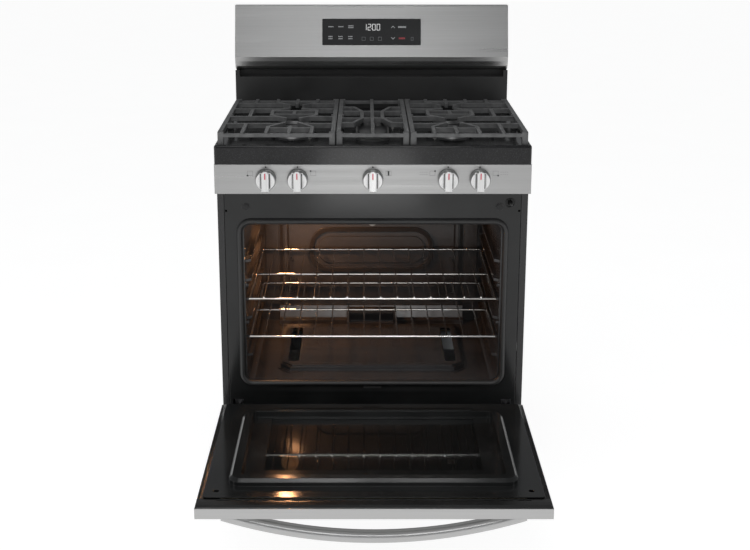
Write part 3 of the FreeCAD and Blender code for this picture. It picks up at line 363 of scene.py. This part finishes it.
def pane(name, tone, alpha=1.0, roughness=0.03):
    """Polished glass: deep and mirror-like, with faint smears that dull it."""
    finish = Finish(name, tone, roughness, 0.0, IOR=1.52, Coat_Weight=1.0, Coat_Roughness=0.02)
    smear = finish.noise(finish.place((1.0, 3.0, 3.0)), 4.0, 5.0, 0.6)
    finish.rough(finish.spread(smear, roughness * 0.6, roughness * 2.4))
    pale = tuple(c * 1.4 + 0.001 for c in tone)
    finish.color(finish.blend_color(finish.spread(smear, 0.0, 1.0), tone, pale))
    if alpha < 1.0:
        finish.shader.inputs["Alpha"].default_value = alpha
        finish.material.surface_render_method = "BLENDED"
    return finish.material


def glowing(name, tone, strength):
    """A lit surface: a display segment or a lamp."""
    finish = Finish(name, tuple(c * 0.2 for c in tone), 0.4, 0.0)
    finish.shader.inputs["Emission Color"].default_value = (*tone, 1.0)
    haze = finish.noise(finish.place(), 120.0, 2.0)
    uneven = finish.spread(haze, strength * 0.9, strength * 1.1)
    finish.link(uneven, finish.shader.inputs["Emission Strength"])
    return finish.material


def ink(name, tone):
    """Screen-printed ink, slightly uneven."""
    finish = Finish(name, tone, 0.55, 0.0)
    grain = finish.noise(finish.place(), 900.0, 2.0)
    pale = tuple(c * 1.25 + 0.01 for c in tone)
    finish.color(finish.blend_color(finish.spread(grain, 0.0, 1.0), tone, pale))
    return finish.material


def floor_paint():
    """The pale studio floor, which glows so that it fades into the white backdrop."""
    finish = Finish("studio_floor", (0.3, 0.3, 0.3), 0.8, 0.0, Specular_IOR_Level=0.0)
    cloud = finish.noise(finish.place(), 3.0, 4.0)
    dark, pale = (0.29, 0.29, 0.29), (0.31, 0.31, 0.31)
    finish.color(finish.blend_color(finish.spread(cloud, 0.0, 1.0), dark, pale))
    finish.shader.inputs["Emission Color"].default_value = (1.0, 1.0, 1.0, 1.0)
    finish.shader.inputs["Emission Strength"].default_value = FLOOR_GLOW
    return finish.material


FINISHES = {
    "stainless": brushed_steel("stainless", tone=0.465),
    "side_enamel": enamel("side_enamel", (0.013, 0.013, 0.0135), 0.24, 0.0, 0.15),
    "black_enamel": enamel("black_enamel", (0.011, 0.0115, 0.0115), 0.11, gloss=0.38),
    "cooktop_enamel": enamel("cooktop_enamel", (0.009, 0.009, 0.0095), 0.1, 0.25, gloss=0.3),
    "liner_enamel": enamel("liner_enamel", (0.034, 0.033, 0.034), 0.17, 0.2),
    "cap_enamel": enamel("cap_enamel", (0.02, 0.02, 0.021), 0.4, 0.0, 0.25),
    "galvanised": zinc_sheet(),
    "leg_steel": cast_metal("leg_steel", (0.06, 0.06, 0.062), 0.5, 0.6),
    "screw_steel": cast_metal("screw_steel", (0.012, 0.012, 0.0125), 0.3, 0.3),
    "gasket": gasket_rope(),
    "wool": fibre("wool", (0.72, 0.66, 0.5), 160.0, 0.004),
    "burner_steel": cast_metal("burner_steel", (0.34, 0.31, 0.28), 0.45),
    "burner_aluminium": cast_metal("burner_aluminium", (0.24, 0.24, 0.24), 0.45),
    "manifold": cast_metal("manifold", (0.66, 0.65, 0.63), 0.4),
    "stem_brass": cast_metal("stem_brass", (0.75, 0.56, 0.26), 0.3),
    "hinge_steel": cast_metal("hinge_steel", (0.16, 0.16, 0.165), 0.3),
    "rack_chrome": polished_wire(),
    "cast_iron": cast_iron(),
    "knob_metal": brushed_steel("knob_metal", (420.0, 420.0, 4.0), 0.7),
    "igniter_ceramic": moulded_plastic("igniter_ceramic", (0.85, 0.84, 0.8), 0.3),
    "circuit_board": moulded_plastic("circuit_board", (0.02, 0.16, 0.07), 0.35),
    "black_plastic": moulded_plastic("black_plastic", (0.02, 0.02, 0.02), 0.35),
    "black_trim": enamel("black_trim", (0.014, 0.014, 0.014), 0.2),
    "dark_glass": pane("dark_glass", (0.004, 0.004, 0.005)),
    "clear_glass": pane("clear_glass", (0.008, 0.009, 0.009), 0.8),
    "display_glass": pane("display_glass", (0.012, 0.012, 0.0125), 1.0, 0.06),
    "lamp_glass": glowing("lamp_glass", (1.0, 0.55, 0.25), 0.15),
}

MARK_FINISHES = {
    "digit_light": glowing("digit_light", (1.0, 1.0, 1.0), 0.85),
    "symbol_light": glowing("symbol_light", (0.8, 0.82, 0.84), 0.35),
    "dim_light": glowing("dim_light", (0.5, 0.52, 0.54), 0.09),
    "red_light": glowing("red_light", (0.75, 0.08, 0.1), 0.35),
    "black_ink": ink("black_ink", (0.02, 0.02, 0.02)),
    "grey_ink": ink("grey_ink", (0.16, 0.16, 0.16)),
    "pointer_red": ink("pointer_red", (0.62, 0.05, 0.09)),
    # Near-white metal for the painted highlight lines on the knobs' grips, and dark metal for the
    # painted shade in their grooves.
    "polished": cast_metal("polished", (0.98, 0.98, 0.98), 0.5),
    "painted_groove_shade": cast_metal("painted_groove_shade", (0.06, 0.06, 0.06), 0.4),
    # Painted shade laid over the relief of the oven's back wall.
    "painted_relief_shade": ink("painted_relief_shade", (0.012, 0.010, 0.009)),
    "floor": floor_paint(),
}

# Nodes whose finish differs from that of their slot: the riser's enamel is fired to a satin, and
# the control panel's sheet is the backguard's brushed steel made darker, painted shade that dims its
# reflections.
SPECIAL_FINISHES = {
    "control_panel": brushed_steel("shaded_panel_steel", tone=0.4),
    "backguard_riser": enamel("satin_enamel", (0.014, 0.014, 0.014), 0.45),
}


def dress_nodes():
    """Gives every CAD node the finish of its material slot."""
    for part in frame["record"]["subparts"]:
        node = part["node"]
        finish = SPECIAL_FINISHES.get(node, FINISHES[part["material_slot"]])
        NODES[node].data.materials.clear()
        NODES[node].data.materials.append(finish)


# ---- Small pieces that CAD leaves out -----------------------------------------------------
def add_mesh(name, points, faces, finish, body):
    """Makes a mesh piece in place and lets it ride on a body."""
    mesh = bpy.data.meshes.new(name)
    mesh.from_pydata(points, [], faces)
    mesh.materials.append(finish)
    obj = bpy.data.objects.new(name, mesh)
    bpy.context.scene.collection.objects.link(obj)
    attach(obj, body)
    return obj


class Marks:
    """Thin raised marks gathered into one mesh, drawn on a plane of its own."""

    def __init__(self, origin, right, up, thickness):
        self.origin = Vector(origin)
        self.right = Vector(right).normalized()
        self.up = Vector(up).normalized()
        self.out = self.right.cross(self.up)
        self.thickness = thickness
        self.points = []
        self.faces = []

    def polygon(self, outline):
        """A flat-topped slab over an outline of (right, up) points, anticlockwise."""
        base = len(self.points)
        count = len(outline)
        for lift in (0.0, self.thickness):
            for a, b in outline:
                self.points.append(self.origin + self.right * a + self.up * b + self.out * lift)
        self.faces.append([base + count + n for n in range(count)])
        self.faces.append([base + count - 1 - n for n in range(count)])
        for n in range(count):
            m = (n + 1) % count
            self.faces.append([base + n, base + m, base + count + m, base + count + n])

    def bar(self, a, b, width):
        """A straight stroke between two points."""
        start, end = Vector(a), Vector(b)
        along = (end - start).normalized() * (width / 2)
        side = Vector((-along.y, along.x))
        corners = [start - along - side, end + along - side, end + along + side, start - along + side]
        self.polygon([tuple(c) for c in corners])

    def path(self, points, width):
        """Strokes from point to point."""
        for a, b in zip(points[:-1], points[1:]):
            self.bar(a, b, width)

    def disc(self, centre, radius, steps=16):
        """A round dot."""
        across, up = centre
        turns = [2 * math.pi * n / steps for n in range(steps)]
        self.polygon([(across + radius * math.cos(t), up + radius * math.sin(t)) for t in turns])

    def make(self, name, finish, body, slot):
        """Makes one piece of everything drawn so far."""
        return add_mesh(name, self.points, self.faces, finish, body)


SEGMENTS = {
    "0": "abcdef",
    "1": "bc",
    "2": "abged",
}


def seven_segment(marks, digit, left, low, width, height, stroke):
    """One clock digit from its lit segments."""
    right, high, middle = left + width, low + height, low + height / 2
    gap = stroke * 0.7
    lines = {
        "a": ((left + gap, high), (right - gap, high)),
        "b": ((right, high - gap), (right, middle + gap)),
        "c": ((right, middle - gap), (right, low + gap)),
        "d": ((left + gap, low), (right - gap, low)),
        "e": ((left, middle - gap), (left, low + gap)),
        "f": ((left, high - gap), (left, middle + gap)),
        "g": ((left + gap, middle), (right - gap, middle)),
    }
    for segment in SEGMENTS[digit]:
        marks.bar(*lines[segment], stroke)


def rectangle(x0, y0, x1, y1):
    """The outline of a rectangle, closed."""
    return [(x0, y0), (x1, y0), (x1, y1), (x0, y1), (x0, y0)]


def rounded_loop(half_x, low_z, high_z, radius, steps=8):
    """Points (x, z) and outward directions round a rectangle with rounded corners."""
    loop = []
    corners = [
        (half_x - radius, high_z - radius, 0),
        (-half_x + radius, high_z - radius, 90),
        (-half_x + radius, low_z + radius, 180),
        (half_x - radius, low_z + radius, 270),
    ]
    for cx, cz, start in corners:
        for n in range(steps + 1):
            turn = math.radians(start + 90.0 * n / steps)
            out = (math.cos(turn), math.sin(turn))
            loop.append(((cx + radius * out[0], cz + radius * out[1]), out))
    return loop


DASH_PITCH = 0.0025
DASH_WIDTH = 0.0013


def dashes(marks, left, base, count, height):
    """A row of short upright strokes, standing in for a printed word."""
    for n in range(count):
        x = left + n * DASH_PITCH
        marks.bar((x, base), (x, base + height), DASH_WIDTH)


# ---- Display --------------------------------------------------------------------------------
# Places on the glass are metres to the right of its middle and up from it.
MARK_LIFT = 0.0002
DIGIT_WIDTH = 0.0078
DIGIT_HEIGHT = 0.0165
DIGIT_STROKE = 0.0011
DIGIT_LEFT = -0.0225
DIGIT_LOW = 0.005
DIGIT_PITCH = 0.0125
COLON_X = 0.0002
COLON_HEIGHTS = (0.0095, 0.0168)
COLON_RADIUS = 0.0008

KEY_LEFT = -0.119
KEY_PITCH = 0.0276
KEY_DASH = 0.0015
TOP_KEY_LINES = [[0.0138], [0.0138], [0.0162, 0.0112]]
LOW_KEY_LINES = [-0.0135, -0.0195]
ARROW_X = (0.0550, 0.0595, 0.0640)
ARROW_STROKE = 0.0011
OUTLINE_STROKE = 0.0009
DIM_BOX_LEFT = -0.0265
DIM_BOX_PITCH = 0.0225
DIM_BOX_WIDTH = 0.009
DIM_BOX_LOW = -0.0235
DIM_BOX_HIGH = -0.0145


def display_sheet():
    """An empty sheet of marks on the front of the display glass, from the middle of its face."""
    glass = NODES["display_glass"].data
    front = min(glass.polygons, key=lambda p: p.normal.y * p.area)
    normal = front.normal.copy()
    right = Vector((1.0, 0.0, 0.0))
    up = normal.cross(right) * -1.0
    if up.z < 0:
        up = -up
    centre = front.center.copy()
    centre.x = 0.0
    heights = [(glass.vertices[v].co - centre).dot(up) for v in front.vertices]
    centre += up * (max(heights) + min(heights)) / 2
    return Marks(centre + normal * MARK_LIFT * 0.2, right, up, MARK_LIFT)


def make_clock():
    """The clock's four digits and its colon."""
    clock = display_sheet()
    for n, digit in enumerate("1200"):
        left = DIGIT_LEFT + n * DIGIT_PITCH
        seven_segment(clock, digit, left, DIGIT_LOW, DIGIT_WIDTH, DIGIT_HEIGHT, DIGIT_STROKE)
    for height in COLON_HEIGHTS:
        clock.disc((COLON_X, height), COLON_RADIUS)
    clock.make("clock_digits", MARK_FINISHES["digit_light"], "cabinet", "display_glass")


def make_keys():
    """The lit stand-ins for key words, the two arrows, the dim boxes and the red off key."""
    keys = display_sheet()
    for column, top_lines in enumerate(TOP_KEY_LINES):
        left = KEY_LEFT + column * KEY_PITCH
        for base in top_lines:
            dashes(keys, left, base, 6, KEY_DASH)
        for base in LOW_KEY_LINES:
            dashes(keys, left, base, 5, KEY_DASH)
    for base, tip in ((0.0115, 0.0162), (-0.0155, -0.0202)):
        keys.path([(x, y) for x, y in zip(ARROW_X, (base, tip, base))], ARROW_STROKE)
    dashes(keys, 0.0745, 0.0118, 9, 0.0036)
    keys.make("key_symbols", MARK_FINISHES["symbol_light"], "cabinet", "display_glass")

    dim = display_sheet()
    for n in range(3):
        left = DIM_BOX_LEFT + n * DIM_BOX_PITCH
        right = left + DIM_BOX_WIDTH
        dim.path(rectangle(left, DIM_BOX_LOW, right, DIM_BOX_HIGH), OUTLINE_STROKE)
    dim.path(rectangle(0.1095, DIM_BOX_LOW, 0.1155, -0.015), OUTLINE_STROKE)
    dim.make("dim_symbols", MARK_FINISHES["dim_light"], "cabinet", "display_glass")

    off = display_sheet()
    dashes(off, 0.0765, -0.0195, 7, 0.0034)
    off.make("off_symbol", MARK_FINISHES["red_light"], "cabinet", "display_glass")


# ---- Control panel and knobs ----------------------------------------------------------------
KNOBS = range(1, 6)
PRINT_DEPTH = 0.00015
PRINT_GAP = 0.00005
TICK_RISE = 0.0045
TICK_RADIUS = 0.0021
MAP_HALF_WIDTH = 0.0062
MAP_HALF_HEIGHT = 0.0055
MAP_OFFSET = 0.0375
MAP_DROP = 0.0105
HAIRLINE = 0.0007

# Which side of its knob each burner map is on, and the corner of it that holds the dot.
MAP_SIDES = {1: -1, 2: 1, 3: 1, 4: -1, 5: 1}
MAP_DOTS = {1: (-1, -1), 2: (-1, 1), 4: (1, 1), 5: (1, -1)}
WORD_KNOBS = (4, 5)

# Strokes on both sides of each knob's grip, the bright ones painted highlights and the dark one
# painted shade in the groove: the piece, how far it starts behind the grip's front, its thickness,
# its distance from the middle, its lowest and highest points, width and finish.
KNOB_STROKES = [
    ("knob_edge_highlights_", 0.0006, 0.0009, 0.0074, -0.0232, 0.0195, 0.0015, "polished"),
    ("knob_rib_highlights_", 0.0112, 0.0014, 0.0146, -0.0146, 0.0146, 0.0017, "polished"),
    ("knob_groove_shades_", 0.0112, 0.0004, 0.0104, -0.0175, 0.0175, 0.0022, "painted_groove_shade"),
]
POINTER_DEPTH = 0.0007
POINTER_THICKNESS = 0.0008
POINTER_WIDTH = 0.0026
POINTER_LOW = 0.0075
POINTER_HIGH = 0.0195


def front_marks(x, y, z, thickness):
    """An empty sheet of marks on a plane that faces the front."""
    return Marks((x, y, z), (1, 0, 0), (0, 0, 1), thickness)


def word_lines(marks, start, side, middle):
    """Two rows of four short lines, standing in for printed words."""
    for row in (-0.0028, 0.0028):
        for step in range(4):
            a = start + side * step * 0.005
            marks.bar((a, middle + row), (a + side * 0.0028, middle + row), HAIRLINE)


def make_panel_marks():
    """The tick above each knob and the little burner maps beside them."""
    face_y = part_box("control_panel")[0].y - PRINT_GAP
    marks = front_marks(0.0, face_y, 0.0, PRINT_DEPTH)
    thin = front_marks(0.0, face_y, 0.0, PRINT_DEPTH)
    for n in KNOBS:
        knob_low, knob_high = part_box("knob_" + str(n))
        x = (knob_low.x + knob_high.x) / 2
        marks.disc((x, knob_high.z + TICK_RISE), TICK_RADIUS)
        side = MAP_SIDES[n]
        across = x + side * MAP_OFFSET
        middle = knob_high.z - MAP_DROP
        left, right = across - MAP_HALF_WIDTH, across + MAP_HALF_WIDTH
        bottom, top = middle - MAP_HALF_HEIGHT, middle + MAP_HALF_HEIGHT
        thin.path(rectangle(left, bottom, right, top), HAIRLINE)
        if n in MAP_DOTS:
            dot_x, dot_z = MAP_DOTS[n]
            dot = (across + dot_x * MAP_HALF_WIDTH, middle + dot_z * MAP_HALF_HEIGHT)
            marks.disc(dot, TICK_RADIUS)
        else:
            marks.bar((across, middle - 0.0035), (across, middle + 0.0035), 0.004)
        if n in WORD_KNOBS:
            word_lines(thin, across + side * 0.012, side, middle)
    marks.make("panel_marks", MARK_FINISHES["black_ink"], "cabinet", "stainless")
    thin.make("panel_outlines", MARK_FINISHES["grey_ink"], "cabinet", "stainless")


def make_pointers():
    """The red pointer let into each knob's grip, and along the grip near-white strokes that are
    painted highlights and dark strokes that are painted shade in its grooves.
    """
    for n in KNOBS:
        body = "knob_" + str(n)
        low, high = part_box(body)
        x = (low.x + high.x) / 2
        middle = (low.z + high.z) / 2
        for name, depth, thickness, across, bottom, top, width, finish in KNOB_STROKES:
            strokes = front_marks(x, low.y + depth, middle, thickness)
            for side in (-1, 1):
                strokes.bar((side * across, bottom), (side * across, top), width)
            strokes.make(name + str(n), MARK_FINISHES[finish], body, "knob_metal")
        pointer = front_marks(x, low.y + POINTER_DEPTH, middle, POINTER_THICKNESS)
        pointer.bar((0.0, POINTER_LOW), (0.0, POINTER_HIGH), POINTER_WIDTH)
        pointer.make("knob_pointer_" + str(n), MARK_FINISHES["pointer_red"], body, "knob_metal")


# ---- Oven front and liner -------------------------------------------------------------------
SCREW_FACE_DEPTH = 2.5 * MM     # the front frame's face, behind the light switch's ring
WASHER_RADIUS = 0.0105
SCREW_CENTRE_RADIUS = 0.0052

LINER_BACK_Y = 205.0 * MM
RING_HALF_X = 170.0 * MM
RING_LOW_Z = 450.0 * MM
RING_HIGH_Z = 568.0 * MM
RING_CORNER = 51.0 * MM
RING_LIFT = 6.4 * MM
RING_HALF_WIDTH = 5.0 * MM
# The painted shade beside each rib: its distance from the middle and its width.
RIB_SHADES = ((0.2555, 0.009), (0.2355, 0.004))
RIB_LOW_Z = 0.350
RIB_HIGH_Z = 0.690


def make_screw_rings():
    """The dark washer and the darker centre of each front screw."""
    low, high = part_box("frame_screws")
    middle = (low.z + high.z) / 2
    face = NODES["front_frame"].data
    front = min(v.co.y for v in face.vertices) + SCREW_FACE_DEPTH
    radius = (high.z - low.z) / 2
    for side, x in (("left", low.x + radius), ("right", high.x - radius)):
        washer = front_marks(x, front, middle, 0.0006)
        washer.disc((0.0, 0.0), WASHER_RADIUS, 32)
        washer.make("screw_washer_" + side, MARK_FINISHES["black_ink"], "cabinet", "screw_steel")
        centre = front_marks(x, low.y - 0.0001, middle, 0.0003)
        centre.disc((0.0, 0.0), SCREW_CENTRE_RADIUS, 24)
        centre.make("screw_centre_" + side, FINISHES["screw_steel"], "cabinet", "screw_steel")


def make_relief():
    """Painted shade in the pressed ring and beside the ribs of the oven's back wall: dark bands that
    stand in for the shade of the relief.
    """
    loop = rounded_loop(RING_HALF_X, RING_LOW_Z, RING_HIGH_Z, RING_CORNER)
    points, faces = [], []
    for (x, z), (out_x, out_z) in loop:
        for side in (-RING_HALF_WIDTH, RING_HALF_WIDTH):
            points.append((x + out_x * side, LINER_BACK_Y - RING_LIFT, z + out_z * side))
    for a in range(len(loop)):
        b = (a + 1) % len(loop)
        faces.append((2 * a, 2 * b, 2 * b + 1, 2 * a + 1))
    # A dark band along the pressed ring: painted shade.
    add_mesh("liner_ring_shade", points, faces, MARK_FINISHES["painted_relief_shade"], "cabinet")
    # Dark strips beside the ribs: painted shade.
    strips = front_marks(0.0, LINER_BACK_Y, 0.0, 0.0005)
    for side in (-1, 1):
        for x, width in RIB_SHADES:
            strips.bar((side * x, RIB_LOW_Z), (side * x, RIB_HIGH_Z), width)
    strips.make("liner_rib_shades", MARK_FINISHES["painted_relief_shade"], "cabinet", "liner_enamel")


# ---- Oven lamp ------------------------------------------------------------------------------
# One light that spreads and one that shows in reflections, each in watts.
LAMP_WASH = 0.6
LAMP_GLOW = 0.8
LAMP_TINT = (1.0, 0.46, 0.2)
LAMP_FACING = Vector((0.55, -0.05, -0.83))
LAMP_DISC = 0.055
LAMP_FORWARD = 0.16
LAMP_RISE = 0.012
LAMP_STEP = 0.003     # keeps the two lamp lights apart


def add_lamp_light(name, watts, mirrored):
    """Warm light from the oven lamp's corner, thrown down and away from the near side wall."""
    low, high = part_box("oven_lamp")
    data = bpy.data.lights.new(name, "AREA")
    data.shape = "DISK"
    data.size = LAMP_DISC
    data.energy = watts
    data.color = LAMP_TINT
    light = bpy.data.objects.new(name, data)
    place = Vector(((low.x + high.x) / 2, low.y - LAMP_FORWARD, high.z + LAMP_RISE))
    light.location = place + LAMP_FACING * (LAMP_STEP if mirrored else 0.0)
    light.rotation_euler = LAMP_FACING.to_track_quat("-Z", "Y").to_euler()
    light.visible_camera = False
    light.visible_glossy = mirrored
    bpy.context.scene.collection.objects.link(light)
    light.parent = frame["bodies"]["cabinet"]


# ---- The oven's seal ------------------------------------------------------------------------
SEAL_BAND = 14.6 * MM
SEAL_HEIGHT = 436.0 * MM     # of the band alone; its clip hangs below it
SEAL_CORNER = 28 * MM


def make_gasket():
    """A seal with a rounded crown, in the same band and depth as the CAD seal, with its clip."""
    low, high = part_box("frame_gasket")
    bottom = high.z - SEAL_HEIGHT
    half = SEAL_BAND / 2
    loop = rounded_loop(high.x - half, bottom + half, high.z - half, SEAL_CORNER)
    turns = 10
    points, faces = [], []
    for (x, z), (out_x, out_z) in loop:
        for n in range(turns + 1):
            t = math.pi * n / turns
            off = half * math.cos(t)
            y = high.y + (low.y - high.y) * math.sin(t)
            points.append((x + out_x * off, y, z + out_z * off))
    ring = turns + 1
    count = len(loop)
    for a in range(count):
        b = (a + 1) % count
        for n in range(turns):
            faces.append((a * ring + n, b * ring + n, b * ring + n + 1, a * ring + n + 1))
        faces.append((a * ring + turns, b * ring + turns, b * ring, a * ring))
    seal = add_mesh("gasket_rope", points, faces, FINISHES["gasket"], "cabinet")
    for face in seal.data.polygons:
        face.use_smooth = True
    clip = front_marks(0.0, high.y, low.z, 8 * MM)
    clip.bar((-0.02, 0.0026), (0.02, 0.0026), 0.005)
    clip_piece = clip.make("gasket_clip", FINISHES["gasket"], "cabinet", "gasket")
    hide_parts("frame_gasket")
    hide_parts("frame_gasket")


# ---- Build --------------------------------------------------------------------------------
make_camera()
make_world()
make_floor(MARK_FINISHES["floor"])
for softbox in SOFTBOXES:
    make_softbox(*softbox)
dress_nodes()
make_gasket()
make_clock()
make_keys()
make_panel_marks()
make_screw_rings()
make_relief()
make_pointers()
add_lamp_light("oven_lamp_wash", LAMP_WASH, False)
add_lamp_light("oven_lamp_glow", LAMP_GLOW, True)
bpy.context.scene.view_settings.view_transform = "Standard"
